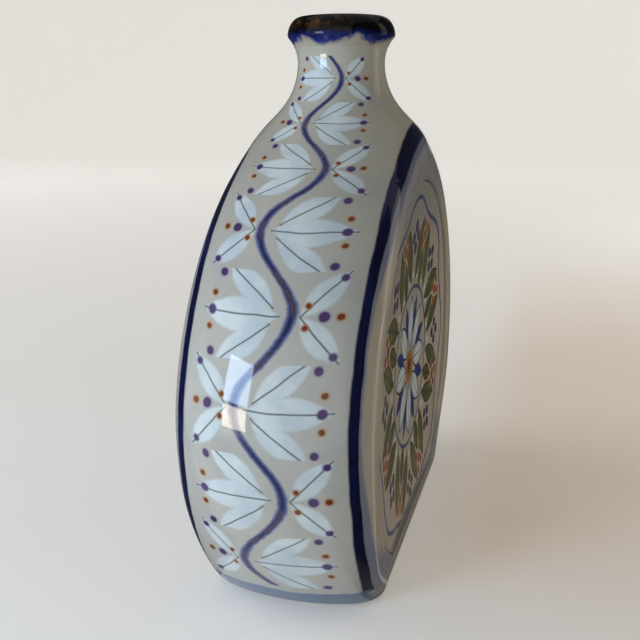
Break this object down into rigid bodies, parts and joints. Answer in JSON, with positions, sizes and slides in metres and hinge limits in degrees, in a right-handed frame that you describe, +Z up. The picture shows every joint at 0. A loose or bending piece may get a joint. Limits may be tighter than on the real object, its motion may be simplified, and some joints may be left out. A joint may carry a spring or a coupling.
{
  "type": "flask vase",
  "caption": "Round, flat-sided stoneware flask vase with recessed faces, a flat base, a drawn-in shoulder, a narrow neck and a thick lip, glazed grey and blue.",
  "frame": {"origin": "middle of the base, on the surface that the vase stands on", "axes": "+Z up along the neck, -Y out of the front face, +X towards the right narrow side as the front is seen"},
  "size_m": [0.234, 0.0802, 0.24],
  "materials": {
    "body_glaze": "gloss",
    "panel_glaze": "gloss",
    "base_glaze": "gloss",
    "lip_glaze": "gloss"
  },
  "bodies": {
    "root": {"base_slab": "base_glaze", "left_side_wall": "body_glaze", "right_side_wall": "body_glaze", "front_panel": "panel_glaze", "back_panel": "panel_glaze", "shoulder": "body_glaze", "neck": "body_glaze", "lip_ring": "lip_glaze"}
  },
  "joints": []
}
